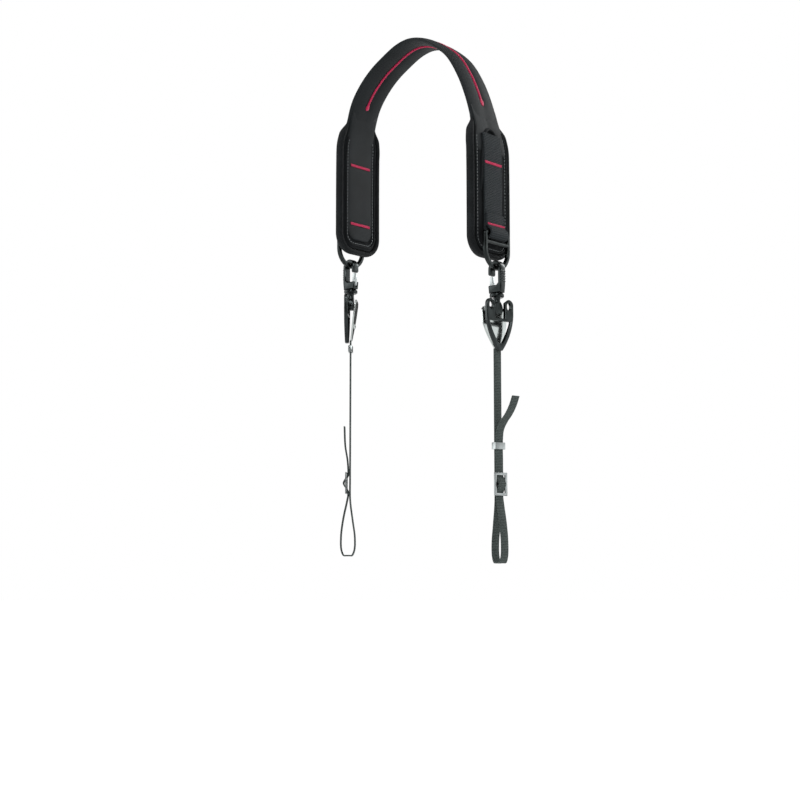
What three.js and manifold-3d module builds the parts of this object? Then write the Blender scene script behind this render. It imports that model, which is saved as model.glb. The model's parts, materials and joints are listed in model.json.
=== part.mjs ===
// Camera neck strap: a padded neck band with two bound end pads, sewn webbing,
// D-rings, trigger snap hooks on swivels, tapered links and narrow lug ties.
// Millimetres, +Z up. X runs across the arch, Y across the width of the band.
// The origin is the underside of the arch at its top, where it rests on a nape.
import * as THREE from "three";
import { mergeVertices } from "three/addons/utils/BufferGeometryUtils.js";
import Module from "manifold-3d";

const wasm = await Module();
wasm.setup();

// ---- driving dimensions -------------------------------------------------
const GAP = 0.3; // clearance between pieces that touch
const LEG_EXTRA = { left: -16, right: 9 }; // the band has slipped round, so one leg hangs lower

const BAND_WIDTH = 39; // narrow padded band
const BAND_THICK = 6;
const PAD_WIDTH = 46; // end pad inside its piped edge
const PAD_THICK = 7;
const PAD_TOP = -74; // heights on a leg with no extra length
const PAD_SHOULDER = -100;
const PAD_END = -196;
const PAD_CORNER = 14; // radius of the pad's lower corners
const PIPING_RADIUS = 2;

const WEBBING_WIDTH = 25; // sewn webbing that carries the D-ring
const WEBBING_THICK = 2.2;
const WEBBING_TOP = -90;

const RING_WIDTH = 36; // outside width of the D
const RING_BAR = 4; // thickness of its cast bars
const RING_BEVEL = 0.9;
const RING_BAR_Z = -180; // centre of the upper bar
const RING_CROSSBAR_Z = -188;
const RING_BOW_Z = -210; // centre of the bow where the hook hangs

const HOOK_RADIUS = 7.2; // outside radius of the hook's dome
const HOOK_THROAT = 3.5; // inside radius of the dome
const HOOK_THICK = 7;
const HOOK_NOSE = 5.6; // how far the nose comes down from the dome's centre
const HOOK_SHOULDER = 14.5; // top of the base block, below the dome's centre
const HOOK_FOOT = 21.5; // underside of the base block, below the dome's centre
const GATE_THICK = 2.8; // across the gate, along Y
const GATE_PIN_RADIUS = 1;
const GATE_PIN = { across: 4.8, below: 16.8 }; // from the dome's centre

const STUD_RADIUS = 2; // swivel stud inside the base block
const COLLAR_RADIUS = 6.3;
const FOOT_WIDTH = 9.8; // block under the collar that carries the link
const FOOT_THICK = 6;
const CROSSPIN_RADIUS = 1.4;

const LINK_WIDTH = 29;
const LINK_TIP_WIDTH = 7;
const LINK_BAR = 3.6;
const LINK_WIRE = 2.4; // width of the frame's wire, seen from the front
const LOBE_RADIUS = 5; // round ears at the link's top
const NOTCH_DEEP = 17; // opening between the lobes, where the foot hangs
const LINK_SPREAD = 3.4; // front wire, ahead of the foot's middle, at the top

const TIE_WIDTH = 8; // narrow lug webbing
const TIE_THICK = 1.2;
const TURN = { left: 38, right: -15 }; // how far each lower end has swivelled, degrees
const KEEPER_Z = { left: -289, right: -366 };
const SLIDE_Z = -399; // middle of the tri-glide
const SLIDE_PLATE = { width: 13.5, height: 20, thick: 1.4, ahead: 3.4 };

// Centre line of the band from its top down one leg.
const BAND_LINE = [
  { across: 0, up: 3 },
  { across: 14, up: 0.5 },
  { across: 29, up: -7 },
  { across: 45, up: -19 },
  { across: 58, up: -36 },
  { across: 68, up: -56 },
  { across: 74.5, up: -78 },
  { across: 77.6, up: -100 },
  { across: 78, up: -116 },
  { across: 78, up: -215 },
];
const LEG_X = 78;

// ---- materials ----------------------------------------------------------
const finish = (color, roughness, metalness) =>
  new THREE.MeshStandardMaterial({ color, roughness, metalness });
const NEOPRENE = finish(0x23262b, 0.75, 0);
const PAD_CLOTH = finish(0x1e2126, 0.85, 0);
const PIPING = finish(0x16181c, 0.8, 0);
const WEBBING = finish(0x2a2d30, 0.8, 0);
const TIE = finish(0x444a49, 0.8, 0);
const GUNMETAL = finish(0x5a6060, 0.35, 1);
const POLISHED = finish(0xb9bfbe, 0.18, 1);
const SPRING = finish(0x8a9090, 0.3, 1);

// ---- solids and booleans ------------------------------------------------
function toSolid(geometry) {
  const bare = geometry.index ? geometry.clone() : mergeVertices(stripped(geometry), 1e-4);
  const merged = mergeVertices(stripped(bare), 1e-4);
  return new wasm.Manifold(
    new wasm.Mesh({
      numProp: 3,
      vertProperties: merged.attributes.position.array,
      triVerts: new Uint32Array(merged.index.array),
    }),
  );
}

function stripped(geometry) {
  const bare = geometry.clone();
  bare.deleteAttribute("normal");
  bare.deleteAttribute("uv");
  return bare;
}

function toGeometry(solid) {
  const mesh = solid.getMesh();
  const geometry = new THREE.BufferGeometry();
  geometry.setAttribute("position", new THREE.BufferAttribute(mesh.vertProperties, 3));
  geometry.setIndex(new THREE.BufferAttribute(mesh.triVerts, 1));
  return geometry;
}

const joined = (...parts) => toGeometry(parts.map(toSolid).reduce((a, b) => a.add(b)));
const cut = (body, ...tools) =>
  toGeometry(tools.map(toSolid).reduce((a, b) => a.subtract(b), toSolid(body)));

function mesh(name, geometry, material) {
  const made = new THREE.Mesh(geometry, material);
  made.name = name;
  return made;
}

// A flat outline in (across, up) given a thickness along Y, centred on Y = 0.
function plate(outline, thick, bevel = 0, segments = 1) {
  const geometry = new THREE.ExtrudeGeometry(outline, {
    depth: thick - 2 * bevel,
    bevelEnabled: bevel > 0,
    bevelSize: bevel,
    bevelOffset: -bevel,
    bevelThickness: bevel,
    bevelSegments: segments,
    curveSegments: 8,
  });
  geometry.translate(0, 0, -thick / 2 + bevel);
  return geometry.rotateX(Math.PI / 2);
}

// A closed skin through equal rings of points, capped at both ends.
function loft(rings) {
  const count = rings[0].length;
  const positions = rings.flat().flatMap((p) => [p.x, p.y, p.z]);
  const index = [];
  for (let r = 0; r + 1 < rings.length; r++) {
    for (let i = 0; i < count; i++) {
      const a = r * count + i;
      const b = r * count + ((i + 1) % count);
      index.push(a, b, a + count, b, b + count, a + count);
    }
  }
  const last = (rings.length - 1) * count;
  for (let i = 1; i + 1 < count; i++) {
    index.push(0, i + 1, i, last, last + i, last + i + 1);
  }
  const geometry = new THREE.BufferGeometry();
  geometry.setAttribute("position", new THREE.Float32BufferAttribute(positions, 3));
  geometry.setIndex(index);
  return geometry;
}

// ---- the band's path ----------------------------------------------------
// A side is +1 for the right leg and -1 for the left one.
const sideName = (side) => (side > 0 ? "right" : "left");
const dropOf = (side, up) => {
  const share = THREE.MathUtils.smoothstep(-up, 0, -PAD_TOP);
  return up - LEG_EXTRA[sideName(side)] * share;
};

function bandCurve() {
  const left = BAND_LINE.slice(1).reverse();
  const points = [
    ...left.map((row) => new THREE.Vector3(-row.across, 0, dropOf(-1, row.up))),
    ...BAND_LINE.map((row) => new THREE.Vector3(row.across, 0, dropOf(1, row.up))),
  ];
  return new THREE.CatmullRomCurve3(points, false, "centripetal");
}
const BAND = bandCurve();

// The band's centre and outward direction on one leg at a given height.
function legFrame(side, up) {
  const target = dropOf(side, up);
  let low = side > 0 ? 0.5 : 0;
  let high = side > 0 ? 1 : 0.5;
  for (let i = 0; i < 40; i++) {
    const middle = (low + high) / 2;
    const above = BAND.getPoint(middle).z > target;
    if (above === side > 0) low = middle;
    else high = middle;
  }
  const t = (low + high) / 2;
  const tangent = BAND.getTangent(t);
  return {
    centre: BAND.getPoint(t),
    outward: new THREE.Vector3(-tangent.z, 0, tangent.x),
  };
}

// One rounded section: width along Y, thickness along the outward direction.
function section(frame, width, thick, offset = 0, corner = 0.42) {
  const half = width / 2;
  const deep = thick / 2;
  const soft = Math.min(half, deep * 2) * corner;
  const outline = [
    [-half, -deep + soft],
    [-half + soft, -deep],
    [half - soft, -deep],
    [half, -deep + soft],
    [half, deep - soft],
    [half - soft, deep],
    [-half + soft, deep],
    [-half, deep - soft],
  ];
  return outline.map(([along, out]) =>
    frame.centre
      .clone()
      .addScaledVector(frame.outward, out + offset)
      .setY(along),
  );
}

// ---- padded band and end pads -------------------------------------------
function neckBand() {
  const from = dropParameter(-1, PAD_TOP);
  const to = dropParameter(1, PAD_TOP);
  const steps = 36;
  const rings = [];
  for (let i = 0; i <= steps; i++) {
    const t = THREE.MathUtils.lerp(from, to, i / steps);
    const tangent = BAND.getTangent(t);
    const frame = {
      centre: BAND.getPoint(t),
      outward: new THREE.Vector3(-tangent.z, 0, tangent.x),
    };
    rings.push(section(frame, BAND_WIDTH, BAND_THICK));
  }
  return mesh("neck_band", loft(rings), NEOPRENE);
}

function dropParameter(side, up) {
  const target = legFrame(side, up).centre;
  let best = 0;
  for (let i = 0; i <= 2000; i++) {
    const t = i / 2000;
    if (BAND.getPoint(t).distanceTo(target) < BAND.getPoint(best).distanceTo(target)) best = t;
  }
  return best;
}

// Half-width of an end pad at a height: shoulders above, a round end below.
function padHalfWidth(up) {
  const flare = THREE.MathUtils.smoothstep(-up, -PAD_TOP, -PAD_SHOULDER);
  const straight = THREE.MathUtils.lerp(BAND_WIDTH / 2 - 1, PAD_WIDTH / 2, flare);
  const left = Math.min(1, Math.max(0, (up - PAD_END) / PAD_CORNER));
  return straight - PAD_CORNER * (1 - Math.sqrt(1 - (1 - left) ** 2));
}

// Heights of the pad's sections: even down to the corners, then closer together.
const PAD_UPS = [0.6, 8, 16, 26, 40, 56, 72, 88, 100, 107].map((below) => PAD_TOP - below);
PAD_UPS.push(...[0.8, 0.6, 0.42, 0.26, 0.13, 0.05].map((share) => PAD_END + share * PAD_CORNER));
PAD_UPS.push(PAD_END + 0.15);

function endPad(side) {
  const rings = PAD_UPS.map((up) => {
    const frame = legFrame(side, up);
    return section(frame, 2 * padHalfWidth(up), PAD_THICK);
  });
  if (side < 0) rings.reverse();
  return mesh("end_pad_" + sideName(side), loft(rings), PAD_CLOTH);
}

function edgePiping(side) {
  const reach = PIPING_RADIUS + GAP + 0.45;
  const at = (along, up) => legFrame(side, up).centre.clone().setY(along);
  const straight = PAD_UPS.filter((up) => up > PAD_END + PAD_CORNER + 1);
  const edge = (end) => straight.map((up) => at(end * (padHalfWidth(up) + reach), up));
  const round = [];
  for (let degrees = 0; degrees <= 180; degrees += 15) {
    const turn = THREE.MathUtils.degToRad(degrees);
    const middle = -Math.sign(Math.cos(turn)) * (PAD_WIDTH / 2 - PAD_CORNER);
    const along = (degrees === 90 ? 0 : middle) - (PAD_CORNER + reach) * Math.cos(turn);
    round.push(at(along, PAD_END + PAD_CORNER - (PAD_CORNER + reach) * Math.sin(turn)));
  }
  const route = [...edge(-1), ...round, ...edge(1).reverse()];
  const curve = new THREE.CatmullRomCurve3(route, false, "centripetal");
  const circle = new THREE.Shape().absarc(0, 0, PIPING_RADIUS, 0, 2 * Math.PI);
  const geometry = new THREE.ExtrudeGeometry(circle, {
    extrudePath: curve,
    steps: 56,
    curveSegments: 4,
  });
  return mesh("edge_piping_" + sideName(side), geometry, PIPING);
}

// ---- sewn webbing with the eye round the D-ring's bar -------------------
const WEB_OFFSET = PAD_THICK / 2 + GAP + WEBBING_THICK / 2;
const EYE_RADIUS = RING_BAR / 2 + 0.7;
const RING_X = LEG_X + PAD_THICK / 2 + GAP + WEBBING_THICK + EYE_RADIUS;

function sewnWebbing(side) {
  const lower = RING_BAR_Z + 14;
  const ups = [0, 8, 16, 26, 40, 60, WEBBING_TOP - lower].map((below) => WEBBING_TOP - below);
  const rings = ups.map((up) =>
    section(legFrame(side, up), WEBBING_WIDTH, WEBBING_THICK, WEB_OFFSET, 0.2),
  );
  if (side < 0) rings.reverse();
  const strip = loft(rings);

  const outside = EYE_RADIUS + WEBBING_THICK;
  const back = -outside;
  const eye = new THREE.Shape();
  eye.moveTo(back, 16);
  eye.lineTo(back, 0);
  eye.absarc(0, 0, outside, Math.PI, 2 * Math.PI);
  eye.lineTo(outside, 1.5);
  eye.lineTo(back + WEBBING_THICK, 11);
  eye.lineTo(back + WEBBING_THICK, 16);
  const hole = new THREE.Path();
  hole.absarc(0, 0, EYE_RADIUS, 0, 2 * Math.PI);
  eye.holes.push(hole);
  const fold = plate(eye, WEBBING_WIDTH);
  placeOnLeg(fold, side, RING_X, RING_BAR_Z);
  return mesh("sewn_webbing_" + sideName(side), joined(strip, fold), WEBBING);
}

// Moves a shape made about the right leg's axes onto a leg, mirrored on the left.
function placeOnLeg(geometry, side, across, up) {
  if (side < 0) geometry.rotateZ(Math.PI);
  const drop = LEG_EXTRA[sideName(side)];
  return geometry.translate(side * across, 0, up - drop);
}

// ---- D-ring -------------------------------------------------------------
function ringOutline(halfWidth, top, centre) {
  const shape = new THREE.Shape();
  const corner = 3;
  shape.moveTo(-halfWidth, centre);
  shape.absarc(0, centre, halfWidth, Math.PI, 2 * Math.PI);
  shape.lineTo(halfWidth, top - corner);
  shape.absarc(halfWidth - corner, top - corner, corner, 0, Math.PI / 2);
  shape.lineTo(-halfWidth + corner, top);
  shape.absarc(-halfWidth + corner, top - corner, corner, Math.PI / 2, Math.PI);
  return shape;
}

function dRing(side) {
  const half = RING_WIDTH / 2;
  const bar = RING_BAR / 2;
  const centre = RING_BOW_Z - RING_BAR_Z - bar + half; // bow's centre above its lowest line
  const shape = ringOutline(half, bar, centre);
  const inner = half - RING_BAR;
  const cross = RING_CROSSBAR_Z - RING_BAR_Z;
  const opening = new THREE.Path();
  opening.moveTo(-inner, centre);
  opening.absarc(0, centre, inner, Math.PI, 2 * Math.PI);
  opening.lineTo(inner, cross - 1.6);
  opening.lineTo(-inner, cross - 1.6);
  const slot = new THREE.Path();
  slot.moveTo(-inner, -bar);
  slot.lineTo(-inner, cross + 1.6);
  slot.lineTo(inner, cross + 1.6);
  slot.lineTo(inner, -bar);
  shape.holes.push(opening, slot);
  const geometry = plate(shape, RING_BAR, RING_BEVEL);
  geometry.rotateZ(Math.PI / 2);
  placeOnLeg(geometry, side, RING_X, RING_BAR_Z);
  return mesh("d_ring_" + sideName(side), geometry, GUNMETAL);
}

// ---- trigger snap hook --------------------------------------------------
const BOW_RISE = 0.5; // how far the bow climbs within the hook's thickness
const HOOK_Z = RING_BOW_Z + RING_BAR / 2 + BOW_RISE + GAP - HOOK_THROAT;

// Outline seen along Y: the spine is outwards (+across), the gate inwards.
function hookBody(side) {
  const outer = HOOK_RADIUS;
  const throat = HOOK_THROAT;
  const shape = new THREE.Shape();
  shape.moveTo(outer, 0);
  shape.absarc(0, 0, outer, 0, Math.PI);
  shape.lineTo(-outer, -HOOK_NOSE + 1.2);
  shape.lineTo(-outer + 1.2, -HOOK_NOSE);
  shape.lineTo(-throat - 0.6, -HOOK_NOSE);
  shape.lineTo(-throat, -HOOK_NOSE + 1.5);
  shape.lineTo(-throat, 0);
  shape.absarc(0, 0, throat, Math.PI, 0, true);
  shape.lineTo(throat, -HOOK_SHOULDER + 2);
  shape.lineTo(throat - 2, -HOOK_SHOULDER);
  shape.lineTo(-outer + 0.4, -HOOK_SHOULDER);
  shape.lineTo(-outer, -HOOK_SHOULDER - 0.8);
  shape.lineTo(-outer + 0.8, -HOOK_FOOT);
  shape.lineTo(outer - 0.8, -HOOK_FOOT);
  shape.lineTo(outer, -HOOK_SHOULDER);
  // thumb ridges down the spine
  for (let ridge = 0; ridge < 5; ridge++) {
    const up = -HOOK_SHOULDER + 2.5 + ridge * 2.2;
    shape.lineTo(outer, up);
    shape.lineTo(outer + 0.7, up + 0.6);
    shape.lineTo(outer, up + 1.2);
  }
  const body = plate(shape, HOOK_THICK, 0.8);
  const room = new THREE.BoxGeometry(9, GATE_THICK + 0.8, 7);
  room.translate(-GATE_PIN.across - 1.4, 0, -GATE_PIN.below + 0.9);
  const bore = new THREE.CylinderGeometry(STUD_RADIUS + 0.5, STUD_RADIUS + 0.5, 3.2, 20);
  bore.rotateX(Math.PI / 2);
  bore.translate(0, 0, -HOOK_FOOT + 0.6);
  const pin = new THREE.CylinderGeometry(GATE_PIN_RADIUS, GATE_PIN_RADIUS, HOOK_THICK - 1.6, 12);
  pin.translate(-GATE_PIN.across, 0, -GATE_PIN.below);
  const geometry = joined(cut(body, room, bore), pin);
  placeOnLeg(geometry, side, RING_X, HOOK_Z);
  return mesh("hook_body_" + sideName(side), geometry, GUNMETAL);
}

// The gate turns about the pin and closes against the nose.
function hookGate(side) {
  const foot = 2.1;
  const shape = new THREE.Shape();
  const rise = GATE_PIN.below - HOOK_NOSE - GAP - 0.2;
  shape.absarc(0, 0, foot, Math.PI, 2 * Math.PI);
  shape.lineTo(foot - 0.6, rise - 2);
  shape.lineTo(foot - 1.4, rise);
  shape.lineTo(-foot + 0.8, rise);
  shape.lineTo(-foot + 0.2, rise - 4);
  const hole = new THREE.Path();
  hole.absarc(0, 0, GATE_PIN_RADIUS + 0.35, 0, 2 * Math.PI);
  shape.holes.push(hole);
  const geometry = plate(shape, GATE_THICK);
  geometry.translate(-GATE_PIN.across, 0, -GATE_PIN.below);
  placeOnLeg(geometry, side, RING_X, HOOK_Z);
  return mesh("hook_gate_" + sideName(side), geometry, SPRING);
}

// ---- swivel, link, tie: made about the swivel's axis --------------------
const BASE_Z = HOOK_Z - HOOK_FOOT; // underside of the hook's base block
const COLLAR_HIGH = 4.2;
const CROSSPIN_Z = -14.5; // below the base block
const CROSSPIN_AHEAD = 0.4;

function swivelEye() {
  const profile = [
    [0, 1.6],
    [STUD_RADIUS, 1.6],
    [STUD_RADIUS, -0.4],
    [COLLAR_RADIUS - 0.8, -0.4],
    [COLLAR_RADIUS, -1.2],
    [COLLAR_RADIUS, -COLLAR_HIGH + 0.8],
    [COLLAR_RADIUS - 1, -COLLAR_HIGH],
    [3.2, -COLLAR_HIGH],
    [2.9, -6.6],
    [3.4, -9.4],
    [0, -9.4],
  ].map(([radius, up]) => new THREE.Vector2(radius, up));
  const post = new THREE.LatheGeometry(profile.reverse(), 24);
  post.rotateX(Math.PI / 2);
  const half = FOOT_WIDTH / 2;
  const shape = new THREE.Shape();
  shape.moveTo(-half + 2.4, -8);
  shape.lineTo(-half + 0.6, -11);
  shape.lineTo(-half, -15);
  shape.lineTo(-half + 1.4, -19);
  shape.quadraticCurveTo(-half / 2, -20.4, 0, -18.6);
  shape.quadraticCurveTo(half / 2, -20.4, half - 1.4, -19);
  shape.lineTo(half, -15);
  shape.lineTo(half - 0.6, -11);
  shape.lineTo(half - 2.4, -8);
  const block = plate(shape, FOOT_THICK, 0.6);
  const hole = crossPin(CROSSPIN_RADIUS + 0.4, FOOT_WIDTH + 4);
  return cut(joined(post, block), hole);
}

function crossPin(radius, long) {
  const pin = new THREE.CylinderGeometry(radius, radius, long, 14);
  pin.rotateZ(Math.PI / 2);
  return pin.translate(0, CROSSPIN_AHEAD, CROSSPIN_Z);
}

// Tapered link outline, lobes at the top; low is the tip's height.
function linkOutline(half, tipHalf, top, low, wire) {
  const shape = new THREE.Shape();
  const lobe = LOBE_RADIUS;
  shape.moveTo(-half + lobe, top);
  shape.absarc(-half + lobe, top - lobe, lobe, Math.PI / 2, Math.PI);
  shape.lineTo(-half, top - 14);
  shape.quadraticCurveTo(-half + 1, low + 16, -tipHalf, low + 1.5);
  shape.lineTo(-tipHalf + 1.2, low);
  shape.lineTo(tipHalf - 1.2, low);
  shape.lineTo(tipHalf, low + 1.5);
  shape.quadraticCurveTo(half - 1, low + 16, half, top - 14);
  shape.lineTo(half, top - lobe);
  shape.absarc(half - lobe, top - lobe, lobe, 0, Math.PI / 2);
  if (wire > 0) {
    const notch = half - 2 * lobe + 0.8;
    shape.lineTo(notch, top - 3);
    shape.lineTo(notch, top - NOTCH_DEEP);
    shape.lineTo(-notch, top - NOTCH_DEEP);
    shape.lineTo(-notch, top - 3);
  }
  return shape;
}

const LINK_TOP = -5.6;
const LINK_TIP = -51;

function linkFrame() {
  const half = LINK_WIDTH / 2;
  const shape = linkOutline(half, LINK_TIP_WIDTH / 2, LINK_TOP, LINK_TIP, LINK_WIRE);
  const window = new THREE.Path();
  const inner = half - LINK_WIRE - 0.8;
  window.moveTo(-inner, LINK_TOP - NOTCH_DEEP - LINK_WIRE);
  window.quadraticCurveTo(-inner + 1.6, LINK_TIP + 19, -2.4, LINK_TIP + 7);
  window.quadraticCurveTo(0, LINK_TIP + 5, 2.4, LINK_TIP + 7);
  window.quadraticCurveTo(inner - 1.6, LINK_TIP + 19, inner, LINK_TOP - NOTCH_DEEP - LINK_WIRE);
  shape.holes.push(window);
  for (const end of [-1, 1]) {
    const eye = new THREE.Path();
    const middle = LINK_TOP - LOBE_RADIUS - 1;
    eye.absellipse(end * (half - LOBE_RADIUS), middle, 2, 3.4, 0, 2 * Math.PI);
    shape.holes.push(eye);
  }
  const plateGeometry = plate(shape, LINK_BAR, 0.6);
  plateGeometry.translate(0, LINK_SPREAD, 0);
  const pin = crossPin(CROSSPIN_RADIUS, LINK_WIDTH - 10);
  return joined(plateGeometry, pin);
}

// The polished shell behind the wire, leaning back from the tip to the lobes.
function linkShell() {
  const half = LINK_WIDTH / 2 - 1.5;
  const outline = linkOutline(half, LINK_TIP_WIDTH / 2, LINK_TOP - 5, LINK_TIP + 2, 0);
  const shell = plate(outline, 1.4, 0.3);
  const lean = 0.135;
  shell.translate(0, -0.4, -LINK_TIP);
  shell.rotateX(lean);
  shell.translate(0, 0, LINK_TIP);
  const rivets = [-3.4, 3.4].map((along) => {
    const rivet = new THREE.CylinderGeometry(1.7, 1.7, 2.4, 12);
    return rivet.translate(along, -3.3, LINK_TIP + 16);
  });
  return joined(shell, ...rivets);
}

// Rows of the tie's middle line: out is away from the body, up is the height.
const LOOP_SEAT = -466; // flat bottom of the loop, where it sits on a camera's lug
const MAIN_RUN = [
  { out: 0, up: -284 },
  { out: 0, up: -330 },
  { out: 0, up: -365 },
  { out: 0, up: -395 },
  { out: -0.2, up: -415 },
  { out: -2.6, up: -434 },
  { out: -4.6, up: -449 },
  { out: -4.2, up: -461 },
  { out: -1.9, up: LOOP_SEAT },
  { out: -0.2, up: LOOP_SEAT },
  { out: 1.8, up: LOOP_SEAT },
  { out: 3.8, up: LOOP_SEAT },
  { out: 5.5, up: LOOP_SEAT },
  { out: 7.8, up: -461 },
  { out: 8.2, up: -448 },
  { out: 6.2, up: -432 },
  { out: 3, up: -417 },
  { out: 1.75, up: -410 },
  { out: 1.9, up: -406.4 },
  { out: 3.9, up: -403.2 },
  { out: 6, up: -399 },
  { out: 3.9, up: -394.8 },
  { out: 1.9, up: -391.6 },
  { out: 1.75, up: -388 },
];
const TAIL_RUN = {
  left: [
    { out: 2.4, up: -378 },
    { out: 4.6, up: -364 },
    { out: 5.4, up: -346 },
  ],
  right: [
    { out: 1.75, up: -378 },
    { out: 1.75, up: -362 },
    { out: 3.4, up: -352 },
    { out: 9, up: -345 },
    { out: 15, up: -340 },
    { out: 21, up: -333 },
    { out: 25.5, up: -325 },
  ],
};
const TIE_LONGER = { left: 16, right: 0 }; // more webbing let out on the shorter leg
const TIE_TOP = BASE_Z + LINK_TIP - GAP;

function tieWebbing(side) {
  const rows = [...MAIN_RUN, ...TAIL_RUN[sideName(side)]];
  const points = rows.map((row, i) => {
    const up = i === 0 ? TIE_TOP : row.up - TIE_LONGER[sideName(side)];
    return new THREE.Vector3(row.out, 0, up - BASE_Z);
  });
  const curve = new THREE.CatmullRomCurve3(points, false, "centripetal");
  const flat = new THREE.Shape();
  flat.moveTo(-TIE_WIDTH / 2, -TIE_THICK / 2);
  flat.lineTo(TIE_WIDTH / 2, -TIE_THICK / 2);
  flat.lineTo(TIE_WIDTH / 2, TIE_THICK / 2);
  flat.lineTo(-TIE_WIDTH / 2, TIE_THICK / 2);
  const geometry = new THREE.ExtrudeGeometry(flat, { extrudePath: curve, steps: 150 });
  return geometry;
}

function keeper(side) {
  const holdsBoth = side > 0;
  const back = -TIE_THICK / 2 - GAP;
  const front = holdsBoth ? 1.75 + TIE_THICK / 2 + GAP : TIE_THICK / 2 + GAP;
  const half = TIE_WIDTH / 2 + GAP;
  const wall = 1;
  const outer = new THREE.Shape();
  outer.moveTo(back - wall, -half - wall);
  outer.lineTo(front + wall, -half - wall);
  outer.lineTo(front + wall, half + wall);
  outer.lineTo(back - wall, half + wall);
  const inner = new THREE.Path();
  inner.moveTo(back, -half);
  inner.lineTo(back, half);
  inner.lineTo(front, half);
  inner.lineTo(front, -half);
  outer.holes.push(inner);
  const geometry = new THREE.ExtrudeGeometry(outer, { depth: 6, bevelEnabled: false });
  return geometry.translate(0, 0, KEEPER_Z[sideName(side)] - 3 - BASE_Z);
}

function triGlide(side) {
  const { width, height, thick, ahead } = SLIDE_PLATE;
  const half = width / 2;
  const tall = height / 2;
  const shape = new THREE.Shape();
  shape.moveTo(-half, -tall);
  shape.lineTo(half, -tall);
  shape.lineTo(half, tall);
  shape.lineTo(-half, tall);
  for (const end of [-1, 1]) {
    const slot = new THREE.Path();
    const reach = TIE_WIDTH / 2 + 0.5;
    slot.moveTo(-reach, end * 1.3);
    slot.lineTo(-reach, end * 7.6);
    slot.lineTo(reach, end * 7.6);
    slot.lineTo(reach, end * 1.3);
    shape.holes.push(slot);
  }
  const geometry = plate(shape, thick);
  geometry.rotateZ(-Math.PI / 2);
  return geometry.translate(ahead, 0, SLIDE_Z - TIE_LONGER[sideName(side)] - BASE_Z);
}

// Everything below the hook, in a group that has swivelled about the post.
function lowerEnd(side) {
  const name = sideName(side);
  const group = new THREE.Group();
  const quarter = new THREE.Matrix4().makeRotationZ(-Math.PI / 2);
  group.add(
    mesh("swivel_eye_" + name, swivelEye().applyMatrix4(quarter), GUNMETAL),
    mesh("link_frame_" + name, linkFrame().applyMatrix4(quarter), GUNMETAL),
    mesh("link_shell_" + name, linkShell().applyMatrix4(quarter), POLISHED),
    mesh("lug_tie_" + name, tieWebbing(side), TIE),
    mesh("tie_keeper_" + name, keeper(side), GUNMETAL),
    mesh("tri_glide_" + name, triGlide(side), GUNMETAL),
  );
  const outwards = side > 0 ? 0 : Math.PI;
  group.rotation.z = outwards + THREE.MathUtils.degToRad(TURN[name]);
  group.position.set(side * RING_X, 0, BASE_Z - LEG_EXTRA[name]);
  return group;
}

// ---- the whole strap ----------------------------------------------------
const strap = new THREE.Group();
strap.add(neckBand());
for (const side of [-1, 1]) {
  strap.add(endPad(side), edgePiping(side), sewnWebbing(side), dRing(side));
  strap.add(hookBody(side), hookGate(side), lowerEnd(side));
}

export default strap;
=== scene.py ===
import bpy
import bmesh
import json
from math import ceil, copysign, cos, pi, radians, sin, sqrt
from mathutils import Matrix, Vector


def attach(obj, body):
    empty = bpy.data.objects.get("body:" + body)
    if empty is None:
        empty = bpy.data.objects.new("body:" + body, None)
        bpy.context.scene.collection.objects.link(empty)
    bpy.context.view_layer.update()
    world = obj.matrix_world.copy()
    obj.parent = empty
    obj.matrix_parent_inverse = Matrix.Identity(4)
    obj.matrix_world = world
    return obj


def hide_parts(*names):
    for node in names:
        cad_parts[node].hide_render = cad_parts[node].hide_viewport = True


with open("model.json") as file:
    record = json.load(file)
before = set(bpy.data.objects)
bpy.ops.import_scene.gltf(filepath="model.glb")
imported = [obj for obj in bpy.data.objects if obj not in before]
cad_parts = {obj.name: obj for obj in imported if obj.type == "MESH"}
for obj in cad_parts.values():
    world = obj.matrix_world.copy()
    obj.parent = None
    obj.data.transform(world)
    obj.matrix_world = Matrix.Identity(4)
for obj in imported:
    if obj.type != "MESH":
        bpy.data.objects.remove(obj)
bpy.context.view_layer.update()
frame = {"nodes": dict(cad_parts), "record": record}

MM = 0.001
SIDES = (-1, 1)
SIDE_NAME = {-1: "left", 1: "right"}

# ---- sizes of the soft pieces, in millimetres ------------------------------
EXTRA = {-1: -16.0, 1: 9.0}  # how much further down each leg hangs
BAND_WIDTH, BAND_THICK = 39.0, 6.0
PAD_WIDTH, PAD_THICK = 46.0, 7.0
PAD_TOP, PAD_SHOULDER, PAD_END, PAD_CORNER = -74.0, -100.0, -196.0, 14.0
OVERLAP = 14.0  # how far the band runs on inside a pad
WEB_WIDTH, WEB_THICK, WEB_TOP = 25.0, 2.2, -90.0
BAR_UP, EYE_RADIUS = -180.0, 2.7
LEG_X = 78.0
RING_X = LEG_X + PAD_THICK / 2 + 0.3 + WEB_THICK + EYE_RADIUS
BASE_UP = -232.2  # underside of the hook's base block
TIE_WIDTH, TIE_THICK = 8.0, 1.2
TURN = {-1: 38.0, 1: -15.0}
LONGER = {-1: 16.0, 1: 0.0}  # more webbing let out below the shorter leg
TACK_UPS = (-116.0, -172.0)  # the two bar tacks on each leg

# centre line of the band from its top down a leg: across, up
BAND_LINE = [
    (0, 3), (14, 0.5), (29, -7), (45, -19), (58, -36),
    (68, -56), (74.5, -78), (77.6, -100), (78, -116), (78, -215),
]

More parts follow.
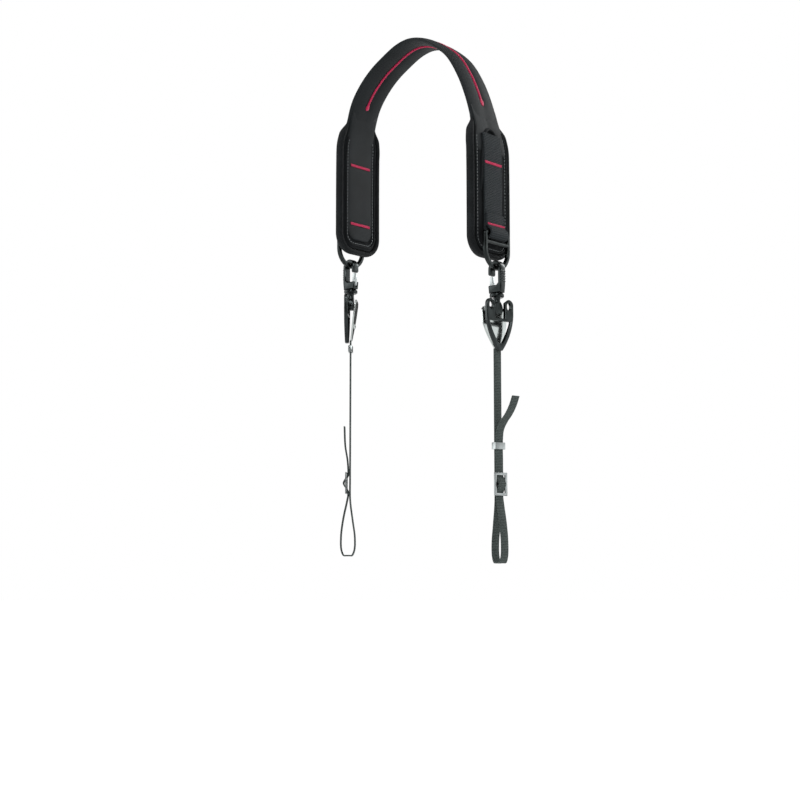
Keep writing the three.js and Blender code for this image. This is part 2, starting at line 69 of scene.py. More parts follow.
# middle line of a lug tie: out from the body, up
TIE_RUN = [
    (0, -284), (0, -330), (0, -365), (0, -395), (-0.2, -415), (-2.6, -434),
    (-4.6, -449), (-4.2, -461), (-1.9, -466), (-0.2, -466), (1.8, -466),
    (3.8, -466), (5.5, -466), (7.8, -461), (8.2, -448), (6.2, -432),
    (3, -417), (1.75, -410), (1.9, -406.4), (3.9, -403.2), (6, -399),
    (3.9, -394.8), (1.9, -391.6), (1.75, -388),
]
TIE_TAIL = {
    -1: [(2.4, -378), (4.6, -364), (5.4, -346)],
    1: [(1.75, -378), (1.75, -362), (3.4, -352), (9, -345), (15, -340), (21, -333), (25.5, -325)],
}


def smooth(value, low, high):
    share = min(1.0, max(0.0, (value - low) / (high - low)))
    return share * share * (3 - 2 * share)


def mix(a, b, share):
    return a + (b - a) * share


# ---- curves ----------------------------------------------------------------
def through(points, gap):
    """A smooth curve through the points, as points an even gap apart."""
    ends = [points[0] * 2 - points[1], *points, points[-1] * 2 - points[-2]]
    fine = []
    for i in range(1, len(ends) - 2):
        p0, p1, p2, p3 = ends[i - 1:i + 3]
        t1 = (p1 - p0).length ** 0.5
        t2 = t1 + (p2 - p1).length ** 0.5
        t3 = t2 + (p3 - p2).length ** 0.5
        steps = max(4, int((p2 - p1).length / gap * 3))
        for k in range(steps):
            t = mix(t1, t2, k / steps)
            a1 = p0.lerp(p1, t / t1)
            a2 = p1.lerp(p2, (t - t1) / (t2 - t1))
            a3 = p2.lerp(p3, (t - t2) / (t3 - t2))
            b1 = a1.lerp(a2, t / t2)
            b2 = a2.lerp(a3, (t - t1) / (t3 - t1))
            fine.append(b1.lerp(b2, (t - t1) / (t2 - t1)))
    fine.append(points[-1].copy())
    return evenly(fine, gap)


def evenly(points, gap):
    lengths = [0.0]
    for a, b in zip(points, points[1:]):
        lengths.append(lengths[-1] + (b - a).length)
    count = max(2, ceil(lengths[-1] / gap))
    out, k = [], 0
    for i in range(count + 1):
        want = lengths[-1] * i / count
        while k < len(points) - 2 and lengths[k + 1] < want:
            k += 1
        span = lengths[k + 1] - lengths[k] or 1.0
        out.append(points[k].lerp(points[k + 1], (want - lengths[k]) / span))
    return out


def tangents(points):
    return [
        (points[min(i + 1, len(points) - 1)] - points[max(i - 1, 0)]).normalized()
        for i in range(len(points))
    ]


def lowered(side, up):
    return up - EXTRA[side] * smooth(-up, 0, -PAD_TOP)


def band_points():
    left = [Vector((-x, 0, lowered(-1, z))) for x, z in reversed(BAND_LINE[1:])]
    return through(left + [Vector((x, 0, lowered(1, z))) for x, z in BAND_LINE], 1.0)


BAND = band_points()
BAND_WAY = tangents(BAND)
TOP_INDEX = max(range(len(BAND)), key=lambda i: BAND[i].z)


def leg(side, up):
    """Centre and outward direction of the band on a leg, at a height."""
    target = lowered(side, up)
    i = TOP_INDEX
    while 0 < i + side < len(BAND) - 1 and BAND[i + side].z > target:
        i += side
    near, far = BAND[i], BAND[i + side]
    share = min(1.0, max(0.0, (near.z - target) / max(1e-6, near.z - far.z)))
    way = BAND_WAY[i].lerp(BAND_WAY[i + side], share).normalized()
    return near.lerp(far, share), Vector((-way.z, 0, way.x))


def on_leg(side, along, up, out):
    """A point given by its place across the band, its height and its distance outwards."""
    centre, outward = leg(side, up)
    return Vector((centre.x, along, centre.z)) + outward * out


# ---- making pieces ---------------------------------------------------------
def piece(name, bm, material, body="root", replaces=(), flat=False, uv=True):
    bmesh.ops.recalc_face_normals(bm, faces=bm.faces)
    for v in bm.verts:
        v.co *= MM
    for f in bm.faces:
        f.smooth = not flat
    mesh = bpy.data.meshes.new(name)
    bm.to_mesh(mesh)
    bm.free()
    made = bpy.data.objects.new(name, mesh)
    bpy.context.scene.collection.objects.link(made)
    made.data.materials.append(material)
    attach(made, body)
    if replaces:
        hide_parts(*replaces)
    return made


def skin(bm, rings, closed_ends=True, uvs=None):
    """A skin drawn through rings of points, by extruding the first ring's edge."""
    first = [bm.verts.new(p) for p in rings[0]]
    edges = [bm.edges.new((first[i], first[(i + 1) % len(first)])) for i in range(len(first))]
    layer = bm.loops.layers.uv.verify()
    around = [0.0]
    for a, b in zip(rings[0], rings[0][1:] + rings[0][:1]):
        around.append(around[-1] + (Vector(b) - Vector(a)).length)
    place = {v: (i, 0.0) for i, v in enumerate(first)}
    start, row, run = first, first, 0.0
    if closed_ends:
        bmesh.ops.contextual_create(bm, geom=edges)
    for previous, ring in zip(rings, rings[1:]):
        made = bmesh.ops.extrude_edge_only(bm, edges=edges)
        run += sum((Vector(a) - Vector(b)).length for a, b in zip(previous, ring)) / len(ring)
        order = []
        for v in row:
            up = next(
                e.other_vert(v) for e in v.link_edges
                if e.other_vert(v) not in place and e in made["geom"] or e.other_vert(v) in
                made["geom"] and e.other_vert(v) not in place
            )
            order.append(up)
        for i, (v, p) in enumerate(zip(order, ring)):
            v.co = p
            place[v] = (i, run)
        for i, v in enumerate(row):
            w = order[i]
            x, y = row[(i + 1) % len(row)], order[(i + 1) % len(row)]
            face = next(f for f in v.link_faces if w in f.verts and x in f.verts)
            for loop in face.loops:
                j, far = place[loop.vert]
                wrapped = i + 1 if loop.vert in (x, y) else i
                loop[layer].uv = (around[wrapped], far)
        edges = [bm.edges.get((order[i], order[(i + 1) % len(order)])) for i in range(len(order))]
        row = order
    if closed_ends:
        bmesh.ops.contextual_create(bm, geom=edges)
    else:
        bmesh.ops.bridge_loops(bm, edges=edges + [
            bm.edges.get((start[i], start[(i + 1) % len(start)])) for i in range(len(start))
        ])
    return bm


def round_section(radius, sides):
    return [(radius * cos(2 * pi * k / sides), radius * sin(2 * pi * k / sides)) for k in range(sides)]


def soft_section(width, thick, sides=8):
    """A flat strip's section with rounded edges."""
    r, out = thick / 2, []
    for k in range(sides + 1):
        turn = -pi / 2 + pi * k / sides
        out.append((width / 2 - r + r * cos(turn), r * sin(turn)))
    return out + [(-a, -b) for a, b in out]


def tube(bm, points, section, across, close=False):
    """Sweeps a section along points; across(i, way) gives the section's first direction."""
    ways = tangents(points)
    rings = []
    for i, (p, way) in enumerate(zip(points, ways)):
        side = across(i, way)
        side = (side - way * side.dot(way)).normalized()
        up = way.cross(side)
        rings.append([p + side * a + up * b for a, b in section(i)])
    return skin(bm, rings, not close)


def pill(bm, start, end, radius, up, sides=6):
    """One stitch: a short rounded thread lying from start to end."""
    way = end - start
    made = bmesh.ops.create_uvsphere(bm, u_segments=sides, v_segments=5, radius=radius)
    length = way.length
    way.normalize()
    side = up.cross(way).normalized()
    turn = Matrix((side, way.cross(side), way)).transposed().to_4x4()
    for v in made["verts"]:
        v.co.z += (length / 2 - radius) * (1 if v.co.z > 0 else -1 if v.co.z < 0 else 0)
    bmesh.ops.transform(bm, matrix=Matrix.Translation((start + end) / 2) @ turn, verts=made["verts"])


# ---- shader maths ----------------------------------------------------------
class Field:
    """A socket that can be used in Python expressions."""

    def __init__(self, board, socket):
        self.board = board
        self.socket = socket

    def _math(self, operation, *values, clamp=False):
        node = self.board.tree.nodes.new("ShaderNodeMath")
        node.operation = operation
        node.use_clamp = clamp
        for i, value in enumerate(values):
            self.board.feed(node.inputs[i], value)
        return Field(self.board, node.outputs[0])

    def __add__(self, other):
        return self._math("ADD", self, other)

    def __sub__(self, other):
        return self._math("SUBTRACT", self, other)

    def __rsub__(self, other):
        return self._math("SUBTRACT", other, self)

    def __mul__(self, other):
        return self._math("MULTIPLY", self, other)

    def __pow__(self, other):
        return self._math("POWER", self, other)

    def __gt__(self, other):
        return self._math("GREATER_THAN", self, other)

    __radd__ = __add__
    __rmul__ = __mul__

    def sine(self):
        return self._math("SINE", self)

    def size(self):
        return self._math("ABSOLUTE", self)

    def clipped(self):
        return self._math("ADD", self, 0.0, clamp=True)


class Board:
    """A material's node board, with its Principled shader."""

    def __init__(self, name, rough, metal=0.0, sheen=0.0, shine=0.5):
        self.material = bpy.data.materials.new(name)
        self.material.use_nodes = True
        self.tree = self.material.node_tree
        self.shader = self.tree.nodes["Principled BSDF"]
        self.shader.inputs["Roughness"].default_value = rough
        self.shader.inputs["Metallic"].default_value = metal
        self.shader.inputs["Sheen Weight"].default_value = sheen
        self.shader.inputs["Specular IOR Level"].default_value = shine

    def feed(self, socket, value):
        if isinstance(value, Field):
            self.tree.links.new(value.socket, socket)
        else:
            socket.default_value = value

    def node(self, kind, settings=None, out=0, **inputs):
        made = self.tree.nodes.new(kind)
        for key, value in (settings or {}).items():
            if key == "stops":
                for i, (at, colour) in enumerate(value):
                    spots = made.color_ramp.elements
                    spot = spots[i] if i < len(spots) else spots.new(at)
                    spot.position = at
                    spot.color = (*colour, 1.0)
            else:
                setattr(made, key, value)
        for key, value in inputs.items():
            self.feed(made.inputs[key.replace("_", " ")], value)
        return Field(self, made.outputs[out])

    def place(self):
        return self.node("ShaderNodeTexCoord", out=3)

    def on_cloth(self):
        spot = self.node("ShaderNodeUVMap")
        parts = self.tree.nodes.new("ShaderNodeSeparateXYZ")
        self.tree.links.new(spot.socket, parts.inputs[0])
        return Field(self, parts.outputs[0]), Field(self, parts.outputs[1])

    def noise(self, scale, detail=3.0):
        return self.node("ShaderNodeTexNoise", Vector=self.place(), Scale=scale, Detail=detail)

    def ramp(self, value, *stops):
        return self.node("ShaderNodeValToRGB", {"stops": stops}, Fac=value)

    def colour(self, value):
        self.feed(self.shader.inputs["Base Color"], value)

    def roughness(self, value):
        self.feed(self.shader.inputs["Roughness"], value)

    def relief(self, height, deep, strength=1.0):
        bump = self.node("ShaderNodeBump", Height=height, Distance=deep, Strength=strength)
        self.feed(self.shader.inputs["Normal"], bump)


def shades(base, spread):
    return (
        (0.3, tuple(c * (1 - spread) for c in base)),
        (0.7, tuple(c * (1 + spread) for c in base)),
    )


def smooth_knit():
    """Close-knit face over foam: fine grain with a soft sheen."""
    board = Board("smooth knit", 0.6, sheen=0.02, shine=0.1)
    board.shader.inputs["Sheen Roughness"].default_value = 0.4
    cloudy = board.noise(38.0, 4.0)
    grain = board.noise(2600.0, 2.0)
    board.colour(board.ramp(cloudy * 0.75 + grain * 0.25, *shades((0.0095, 0.0115, 0.0125), 0.3)))
    board.roughness(0.52 + grain * 0.2)
    board.relief(grain * 0.7 + cloudy * 0.3, 0.00012)
    return board.material


def pad_cloth():
    """Fine rib-knit cloth of the end pads."""
    board = Board("pad cloth", 0.82, sheen=0.02, shine=0.07)
    u, v = board.on_cloth()
    rib = (u * 6.2).sine() * (v * 6.2).sine()
    cloudy = board.noise(55.0, 4.0)
    board.colour(board.ramp(cloudy * 0.8 + rib * 0.1, *shades((0.008, 0.0095, 0.0105), 0.3)))
    board.relief(rib * 0.5 + cloudy * 0.4, 0.00018)
    return board.material


def binding_tape():
    """Grosgrain tape folded over the pads' edges."""
    board = Board("binding tape", 0.7, sheen=0.02, shine=0.08)
    u, v = board.on_cloth()
    rib = (v * 5.2).sine()
    worn = board.noise(90.0, 4.0)
    board.colour(board.ramp(rib * 0.2 + worn * 0.8, *shades((0.0075, 0.009, 0.010), 0.45)))
    board.relief(rib, 0.00016)
    return board.material


def webbing(name, base, rib_pitch):
    """Woven webbing: cross ribs, with the warp's small columns between them."""
    board = Board(name, 0.72, sheen=0.03, shine=0.1)
    u, v = board.on_cloth()
    rib = (v * (2 * pi / rib_pitch)).sine()
    warp = (u * (2 * pi / 1.0) + rib * 0.9).sine()
    dust = board.noise(70.0, 5.0)
    weave = rib * 0.65 + warp * 0.35
    tone = dust * 0.4 + weave * 0.42 + 0.3
    board.colour(board.ramp(tone, *shades(base, 0.42)))
    board.roughness(0.66 + dust * 0.16)
    board.relief(weave, 0.0004)
    return board.material


def thread(name, base):
    """Bonded sewing thread with its twist."""
    board = Board(name, 0.5, sheen=0.1, shine=0.25)
    twist = board.node("ShaderNodeTexWave", {"wave_type": "BANDS", "bands_direction": "DIAGONAL"},
                       Vector=board.place(), Scale=520.0, Distortion=1.5)
    board.colour(board.ramp(twist, *shades(base, 0.35)))
    board.relief(twist, 0.00015)
    return board.material


def metal(name, base, rough, spread, wear):
    """Plated metal: uneven plating, fine scratches and rubbed patches."""
    board = Board(name, rough, metal=1.0)
    cloudy = board.noise(160.0, 5.0)
    fine = board.noise(1500.0, 2.0)
    rubbed = (board.noise(420.0, 6.0) * 2.2 - 1.0).clipped() * wear
    board.colour(board.ramp(cloudy * 0.8 + rubbed, *shades(base, spread)))
    board.roughness(rough + (cloudy - 0.5) * 0.16 + fine * 0.05)
    board.relief(fine * 0.4 + cloudy * 0.6, 0.00003)
    return board.material


KNIT = smooth_knit()
PAD = pad_cloth()
BINDING = binding_tape()
WEBBING = webbing("sewn webbing", (0.017, 0.021, 0.0235), 1.5)
TIE = webbing("tie webbing", (0.060, 0.074, 0.070), 1.35)
RED = thread("red thread", (0.42, 0.008, 0.060))
GREY = thread("grey thread", (0.16, 0.175, 0.18))
GUNMETAL = metal("gunmetal plate", (0.026, 0.030, 0.030), 0.22, 0.3, 0.2)
BRIGHT = metal("polished plate", (0.40, 0.43, 0.42), 0.16, 0.12, 0.15)
GATE = metal("gate steel", (0.25, 0.27, 0.27), 0.24, 0.2, 0.2)


# ---- neck band -------------------------------------------------------------
def along_band():
    """The stretch of band between the end pads, and its two ends inside them."""
    tops = {side: leg(side, PAD_TOP - OVERLAP)[0] for side in SIDES}
    middle = [p for p in BAND if p.z > tops[-1 if p.x < 0 else 1].z]
    return evenly([tops[-1], *middle, tops[1]], 1.4)


def band_section(groove, width, thick):
    """Full lens-shaped padding with a sewn groove down the middle of both faces."""
    half, steps, upper = width / 2, 26, []
    for k in range(steps + 1):
        y = -half * cos(pi * k / steps)
        edge = max(0.0, 1 - abs(y / half) ** 3.2) ** 0.5
        dip = 1.25 * groove * max(0.0, 1 - (y / 3.4) ** 2) ** 1.5
        crown = 0.5 * (1 - abs(abs(y / half) - 0.45) * 1.3)
        upper.append((y, edge * (thick / 2 - 0.5 + crown) - dip))
    return upper + [(y, -z) for y, z in upper[-2:0:-1]]


def neck_band():
    points = along_band()
    ways = tangents(points)
    rings = []
    for i, (p, way) in enumerate(zip(points, ways)):
        outward = Vector((-way.z, 0, way.x))
        end = min(i, len(points) - 1 - i) * 1.4
        groove = smooth(end, OVERLAP + 10, OVERLAP + 20)
        ripple = 0.12 * sin(i * 0.9) * groove
        ring = [
            Vector((p.x, y, p.z)) + outward * out
            for y, out in band_section(groove * (1 + ripple), BAND_WIDTH, BAND_THICK)
        ]
        rings.append(ring)
    bm = skin(bmesh.new(), rings)
    made = piece("neck_band_padding", bm, KNIT, replaces=["neck_band"])
    return points, ways


def red_seam(points, ways):
    """Thick saddle stitches in the groove, on the outer and the inner face."""
    spots = evenly(points, 1.0)
    seam_ways = tangents(spots)
    last = len(spots) - 1
    reach = [i for i in range(len(spots)) if OVERLAP + 16 <= min(i, last - i)]
    for face, label in ((1, "outer"), (-1, "inner")):
        bm = bmesh.new()
        for i in reach[::2]:
            if i + 3 > last:
                continue
            out = Vector((-seam_ways[i].z, 0, seam_ways[i].x)) * face
            lift = out * (BAND_THICK / 2 - 0.75)
            lean = Vector((0, 0.55, 0))
            pill(bm, spots[i] + lift - lean, spots[i + 3] + lift + lean, 1.0, out, 8)
        for end in (reach[0], reach[-1]):
            way = seam_ways[end]
            out = Vector((-way.z, 0, way.x)) * face
            inward = way if end == reach[0] else -way
            lift = out * (BAND_THICK / 2 - 0.5)
            for k in range(6):
                start = spots[end] + inward * (k * 1.15 - 1.5) + lift
                half = Vector((0, 2.3 - abs(k - 1.5) * 0.42, 0))
                pill(bm, start - half, start + half + inward * 0.5, 0.75, out, 8)
        piece("red_seam_" + label, bm, RED)


# ---- end pads --------------------------------------------------------------
def half_width(up):
    straight = mix(BAND_WIDTH / 2 - 1, PAD_WIDTH / 2, smooth(-up, -PAD_TOP, -PAD_SHOULDER))
    left = min(1.0, max(0.0, (up - PAD_END) / PAD_CORNER))
    return straight - PAD_CORNER * (1 - sqrt(1 - (1 - left) ** 2))


def pad_section(half, up):
    """Outer face crowned, inner face with a sunk panel inside its raised border."""
    steps, outer, inner = 22, [], []
    border = 4.6
    thick = PAD_THICK * mix(0.78, 1.0, smooth(PAD_TOP - up, 0, OVERLAP))
    for k in range(steps + 1):
        y = -half * cos(pi * k / steps)
        edge = max(0.0, 1 - abs(y / half) ** 6) ** 0.5
        channel = 0.9 * smooth(WEB_WIDTH / 2 + 1.5 - abs(y), 0, 1.5) * smooth(-up, -WEB_TOP - 6, -WEB_TOP)
        outer.append((y, edge * thick / 2 - channel))
        sunk = 1.5 * smooth(half - border - abs(y), -0.8, 1.2) * smooth(up - PAD_END, border, border + 3)
        inner.append((y, -edge * thick / 2 + sunk))
    return outer + inner[-2:0:-1]


def pad_heights():
    ups, up = [], PAD_TOP - 0.4
    while up > PAD_END + 0.5:
        ups.append(up)
        up -= 2.0 if up > PAD_END + PAD_CORNER else max(0.35, (up - PAD_END) * 0.13)
    return ups


def end_pad(side):
    rings = []
    for up in pad_heights():
        half = max(0.8, half_width(up))
        rings.append([on_leg(side, y, up, out) for y, out in pad_section(half, up)])
    bm = skin(bmesh.new(), rings)
    name = SIDE_NAME[side]
    made = piece("end_pad_padding_" + name, bm, PAD, replaces=["end_pad_" + name])


def rim(inset, top_up, gap=1.2):
    """Across and up of a line that runs down one edge, round the end and up the other."""
    line, up = [], top_up
    while up > PAD_END + PAD_CORNER:
        line.append((half_width(up) - inset, up))
        up -= 3.0
    corner = PAD_CORNER - inset
    line += [
        (PAD_WIDTH / 2 - PAD_CORNER + corner * cos(radians(a)), PAD_END + PAD_CORNER - corner * sin(radians(a)))
        for a in range(0, 91, 6)
    ]
    right = [Vector((y, up, 0)) for y, up in line]
    left = [Vector((-y, up, 0)) for y, up in reversed(line)]
    return evenly(right + left, gap)


def edge_binding(side):
    """Tape folded over the pad's edge: a flattened C seen in section, bulging at the rim."""
    name = SIDE_NAME[side]
    line = rim(-2.2, PAD_TOP)
    full = [mix(0.3, 1.0, smooth(PAD_TOP - p.y, 0, 14)) for p in line]
    points = [on_leg(side, p.x - copysign(4.4 * (1 - f), p.x), p.y, 0) for p, f in zip(line, full)]
    outwards = [leg(side, p.y)[1] for p in line]

    def section(i):
        turns = [2 * pi * k / 20 for k in range(20)]
        return [(full[i] * 4.1 * cos(a) * (1 - 0.06 * cos(4 * a)), full[i] * 2.3 * sin(a)) for a in turns]

    bm = tube(bmesh.new(), points, section, lambda i, way: outwards[i])
    piece("edge_binding_" + name, bm, BINDING, replaces=["edge_piping_" + name])


def border_roll(side, face, inset, top_up, radius, label):
    """The rolled hem that frames a face just inside the binding."""
    line = rim(inset, top_up)
    points = [on_leg(side, p.x, p.y, face * (PAD_THICK / 2 - 0.1)) for p in line]
    outwards = [leg(side, p.y)[1] for p in line]
    ring = round_section(radius, 10)
    bm = tube(bmesh.new(), points, lambda i: ring, lambda i, way: outwards[i])
    piece(f"{label}_{SIDE_NAME[side]}", bm, BINDING)


def face_stitches(side):
    """Grey stitches that run round inside the hem, on both faces."""
    bm = bmesh.new()
    for face, inset in ((1, 3.4), (-1, 5.6)):
        line = rim(inset, PAD_TOP - 16, 0.5)
        for i in range(0, len(line) - 5, 6):
            a, b = line[i], line[i + 4]
            out = leg(side, a.y)[1]
            height = face * (PAD_THICK / 2 - (0.12 if face > 0 else 0.5))
            pill(bm, on_leg(side, a.x, a.y, height), on_leg(side, b.x, b.y, height), 0.34, out)
    piece("pad_stitches_" + SIDE_NAME[side], bm, GREY)


def inner_panel(side):
    """The band's smooth tongue, laid in the sunk panel of the pad's inner face."""
    rings = []
    low = PAD_END + 8
    for up in [PAD_TOP + 10, PAD_TOP + 5, *(u for u in pad_heights() if u > low)]:
        left = min(1.0, max(0.0, (up - low) / 13))
        rise = smooth(PAD_TOP + 10 - up, 0, 14)
        half = BAND_WIDTH / 2 - 2.2 - 13 * (1 - sqrt(1 - (1 - left) ** 2))
        half = max(half, 0.8)
        ring = []
        for k in range(17):
            y = -half * cos(pi * k / 16)
            edge = max(0.0, 1 - abs(y / half) ** 5) ** 0.5
            pinch = 0.0
            for tack in TACK_UPS:
                pinch += 0.5 * max(0.0, 1 - abs(up - tack) / 4.0) ** 2
            ring.append((y, -PAD_THICK / 2 + 1.25 - edge * (1.0 - pinch) + 0.9 * (1 - rise)))
        ring += [(y, -PAD_THICK / 2 + 2.4) for y, _ in ring[-2:0:-1]]
        rings.append([on_leg(side, y, up, out) for y, out in ring])
    bm = skin(bmesh.new(), rings)
    piece("inner_panel_" + SIDE_NAME[side], bm, KNIT)


def flap_edge(side):
    """Piped edge of the arched opening that the sewn webbing comes out of."""
    line = [(14.2, -142), (14.0, -122), (12.8, -106), (9.4, -94), (4.6, -86.5), (0, -84.5)]
    right = [Vector((y, up, 0)) for y, up in line]
    left = [Vector((-y, up, 0)) for y, up in reversed(line[:-1])]
    arch = through(right + left, 1.0)
    last = len(arch) - 1
    points, outwards = [], []
    for i, p in enumerate(arch):
        sink = 1.3 * (1 - smooth(min(i, last - i), 0, 16))
        points.append(on_leg(side, p.x, p.y, PAD_THICK / 2 + 0.75 - sink))
        outwards.append(leg(side, p.y)[1])
    section = [(1.0 * cos(a), 1.35 * sin(a)) for a in [2 * pi * k / 12 for k in range(12)]]
    bm = tube(bmesh.new(), points, lambda i: section, lambda i, way: outwards[i])
    piece("flap_edge_" + SIDE_NAME[side], bm, BINDING)


def flap_cover(side):
    """The padded cloth above the opening, domed over the webbing's hidden top."""
    rings = []
    steps = 15
    for k in range(steps + 1):
        up = mix(PAD_TOP + 10, -106.5, k / steps)
        width = half_width(up) - 1.0
        inside = 13.2 * sqrt(max(0.0, 1 - ((up + 110) / 26.0) ** 2)) if up < -84 else 0.0
        rise = smooth(k, 0, 8)
        ring = []
        for j in range(21):
            y = -width * cos(pi * j / 20)
            edge = max(0.0, 1 - abs(y / width) ** 4) ** 0.5
            gone = smooth(inside - abs(y), -1.0, 1.0)
            ring.append((y, PAD_THICK / 2 - mix(1.6, 0.6, rise) + edge * 1.15 * (1 - gone) * rise))
        ring += [(y, PAD_THICK / 2 - 2.4) for y, _ in ring[-2:0:-1]]
        rings.append([on_leg(side, y, up, out) for y, out in ring])
    bm = skin(bmesh.new(), rings)
    piece("flap_cover_" + SIDE_NAME[side], bm, KNIT)


# ---- sewn webbing ----------------------------------------------------------
def sewn_webbing(side):
    """From under the flap down the outer face, round the ring's bar and back up behind."""
    name = SIDE_NAME[side]
    lift = PAD_THICK / 2 + 0.3 + WEB_THICK / 2
    line = [on_leg(side, 0, up, lift) for up in range(-90, -168, -4)]
    turn = EYE_RADIUS + WEB_THICK / 2
    ring_at = Vector((side * RING_X, 0, BAR_UP - EXTRA[side]))

    def round_bar(degrees, radius=turn):
        a = radians(degrees)
        return ring_at + Vector((-side * radius * cos(a), 0, -radius * sin(a)))

    line += [round_bar(0) + Vector((0, 0, 5)), round_bar(0)]
    line += [round_bar(a) for a in range(20, 181, 20)]
    for out, up in ((3.2, 2.6), (0.6, 5.4), (-1.3, 8.2), (-1.6, 12.0), (-1.6, 18.0)):
        line.append(ring_at + Vector((side * out, 0, up)))
    points = through(line, 0.8)
    section = soft_section(WEB_WIDTH, WEB_THICK - 0.15, 6)
    bm = tube(bmesh.new(), points, lambda i: section, lambda i, way: Vector((0, 1, 0)))
    made = piece("webbing_strip_" + name, bm, WEBBING, replaces=["sewn_webbing_" + name])


def bar_tacks(side):
    """Dense red satin bars sewn through every layer, seen on both faces."""
    bm = bmesh.new()
    outer = PAD_THICK / 2 + 0.3 + WEB_THICK
    inner = -PAD_THICK / 2 + 0.25
    for tack in TACK_UPS:
        over = WEB_THICK + 0.45 if tack == TACK_UPS[-1] else 0.0  # the end folded back is on top
        for face, width, height in ((1, 22.5, outer + over), (-1, 25.0, inner)):
            count = int(width / 0.72)
            for k in range(count + 1):
                y = -width / 2 + width * k / count
                lean = 0.28 if k % 2 else -0.28
                out = leg(side, tack)[1] * face
                low = on_leg(side, y - lean, tack - 1.25, height)
                high = on_leg(side, y + lean, tack + 1.25, height)
                pill(bm, low, high, 0.48, out)
    piece("bar_tacks_" + SIDE_NAME[side], bm, RED)


# ---- metal pieces ----------------------------------------------------------
def body_of_node(node):
    for body, nodes in frame["record"]["behaviour"]["bodies"].items():
        if node in nodes:
            return body
    return "root"


def refined(node, name, material, edge=0.35, join=0.4):
    """A finer copy of a hard piece, its edges rounded over."""
    cad = frame["nodes"][node]
    bm = bmesh.new()
    bm.from_mesh(cad.data)
    bmesh.ops.remove_doubles(bm, verts=bm.verts, dist=0.00001)
    bmesh.ops.dissolve_limit(bm, angle_limit=radians(1.5), verts=bm.verts, edges=bm.edges)
    mesh = bpy.data.meshes.new(name)
    bm.to_mesh(mesh)
    bm.free()
    made = bpy.data.objects.new(name, mesh)
    bpy.context.scene.collection.objects.link(made)
    made.data.materials.append(material)
    soften = made.modifiers.new("rounded edges", "BEVEL")
    soften.width = edge * MM
    soften.segments = 3
    soften.limit_method = "ANGLE"
    soften.angle_limit = radians(35)
    soften.harden_normals = True
    for face in mesh.polygons:
        face.use_smooth = True
    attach(made, body_of_node(node))
    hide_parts(node)
    return made


def hard_pieces(side):
    name = SIDE_NAME[side]
    refined("d_ring_" + name, "cast_d_ring_" + name, GUNMETAL, 0.5)
    refined("hook_body_" + name, "snap_hook_" + name, GUNMETAL, 0.4)
    refined("hook_gate_" + name, "snap_gate_" + name, GATE, 0.3)
    refined("swivel_eye_" + name, "swivel_" + name, GUNMETAL, 0.3)
    refined("tie_keeper_" + name, "keeper_band_" + name, GATE, 0.25)
    refined("tri_glide_" + name, "glide_plate_" + name, GATE, 0.25)
    refined("link_frame_" + name, "link_wire_" + name, GUNMETAL, 0.5)
    refined("link_shell_" + name, "link_spoon_" + name, BRIGHT, 0.3)


# ---- lug ties --------------------------------------------------------------
def lug_tie(side):
    """Narrow webbing: link, keeper, glide, loop, and back up to its free end."""
    name = SIDE_NAME[side]
    rows = [(out, up - LONGER[side]) for out, up in TIE_RUN[1:] + TIE_TAIL[side]]
    flat = through([Vector((out, 0, up)) for out, up in [(0, BASE_UP - 49.0), *rows]], 0.8)
    turn = radians(TURN[side] + (0 if side > 0 else 180))
    place = Matrix.Translation((side * RING_X, 0, -EXTRA[side])) @ Matrix.Rotation(turn, 4, "Z")
    points = [place @ p for p in flat]
    across = place.to_3x3() @ Vector((0, 1, 0))
    section = soft_section(TIE_WIDTH, TIE_THICK, 4)
    bm = tube(bmesh.new(), points, lambda i: section, lambda i, way: across)
    piece("tie_strip_" + name, bm, TIE, body="lower_" + name,
          replaces=["lug_tie_" + name])


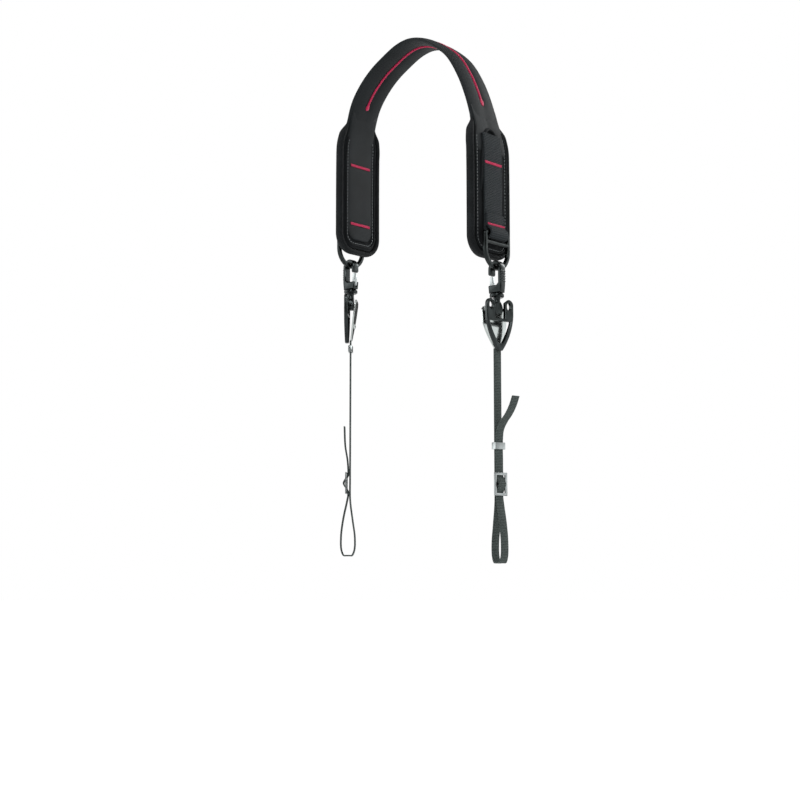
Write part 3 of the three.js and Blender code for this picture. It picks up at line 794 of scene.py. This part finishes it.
# ---- studio ----------------------------------------------------------------
def studio():
    eye_turn, eye_far, eye_up, eye_shift, pitch = radians(41), 1.450, -0.506, 0.019, radians(7)
    back = Vector((sin(eye_turn), -cos(eye_turn), 0))
    right = Vector((cos(eye_turn), sin(eye_turn), 0))
    camera = bpy.data.objects.new("camera", bpy.data.cameras.new("camera"))
    camera.data.lens, camera.data.sensor_width = 73.0, 36.0
    camera.location = back * eye_far - right * eye_shift + Vector((0, 0, eye_up))
    look = -back * cos(pitch) + Vector((0, 0, sin(pitch)))
    camera.rotation_euler = look.to_track_quat("-Z", "Y").to_euler()
    bpy.context.scene.collection.objects.link(camera)
    bpy.context.scene.camera = camera

    world = bpy.data.worlds.new("studio air")
    bpy.context.scene.world = world
    world.use_nodes = True
    nodes, links = world.node_tree.nodes, world.node_tree.links
    air = nodes["Background"]
    air.inputs["Color"].default_value = (1.0, 1.0, 1.0, 1.0)
    seen = nodes.new("ShaderNodeLightPath")
    aim = nodes.new("ShaderNodeTexCoord")
    sideways = nodes.new("ShaderNodeVectorMath")
    sideways.operation = "DOT_PRODUCT"
    sideways.inputs[1].default_value = right
    square, fourth, glow, either = (nodes.new("ShaderNodeMath") for _ in range(4))
    square.operation, fourth.operation = "MULTIPLY", "MULTIPLY"
    glow.operation, either.operation = "MULTIPLY_ADD", "MAXIMUM"
    links.new(aim.outputs["Generated"], sideways.inputs[0])
    for k in (0, 1):
        links.new(sideways.outputs["Value"], square.inputs[k])
        links.new(square.outputs[0], fourth.inputs[k])
    links.new(fourth.outputs[0], glow.inputs[0])
    glow.inputs[1].default_value, glow.inputs[2].default_value = 2.4, 0.05
    links.new(glow.outputs[0], either.inputs[0])
    links.new(seen.outputs["Is Camera Ray"], either.inputs[1])
    links.new(either.outputs[0], air.inputs["Strength"])
    bpy.context.scene.view_settings.view_transform = "Standard"

    for label, place, size, power in (
        ("key", (0.9, -1.3, 0.6), 0.8, 15.0),
        ("fill", (-1.4, -0.9, 0.2), 1.0, 6.0),
        ("rim", (0.5, 1.5, 0.7), 0.7, 12.0),
        ("top", (0.0, 0.0, 1.3), 0.9, 9.0),
    ):
        light = bpy.data.lights.new(label, "AREA")
        light.size = size
        light.energy = power
        lamp = bpy.data.objects.new(label, light)
        lamp.location = place
        lamp.rotation_euler = (Vector((0, 0, -0.2)) - Vector(place)).to_track_quat("-Z", "Y").to_euler()
        bpy.context.scene.collection.objects.link(lamp)

    bm = bmesh.new()
    bmesh.ops.create_circle(bm, cap_ends=True, segments=64, radius=40.0)
    bmesh.ops.translate(bm, vec=(0, 0, -0.56), verts=bm.verts)
    mesh = bpy.data.meshes.new("floor")
    bm.to_mesh(mesh)
    bm.free()
    floor_board = Board("pale floor", 0.8)
    floor_board.shader.inputs["Base Color"].default_value = (0.35, 0.35, 0.35, 1.0)
    floor_board.shader.inputs["Emission Color"].default_value = (1.0, 1.0, 1.0, 1.0)
    floor_board.shader.inputs["Emission Strength"].default_value = 0.95
    ground = bpy.data.objects.new("floor", mesh)
    ground.data.materials.append(floor_board.material)
    bpy.context.scene.collection.objects.link(ground)


studio()
band, band_ways = neck_band()
red_seam(band, band_ways)
for leg_side in SIDES:
    end_pad(leg_side)
    edge_binding(leg_side)
    border_roll(leg_side, -1, 3.6, PAD_TOP - 16, 0.9, "inner_hem")
    border_roll(leg_side, 1, 1.6, PAD_TOP - 10, 0.8, "outer_hem")
    inner_panel(leg_side)
    flap_cover(leg_side)
    flap_edge(leg_side)
    face_stitches(leg_side)
    sewn_webbing(leg_side)
    bar_tacks(leg_side)
    hard_pieces(leg_side)
    lug_tie(leg_side)
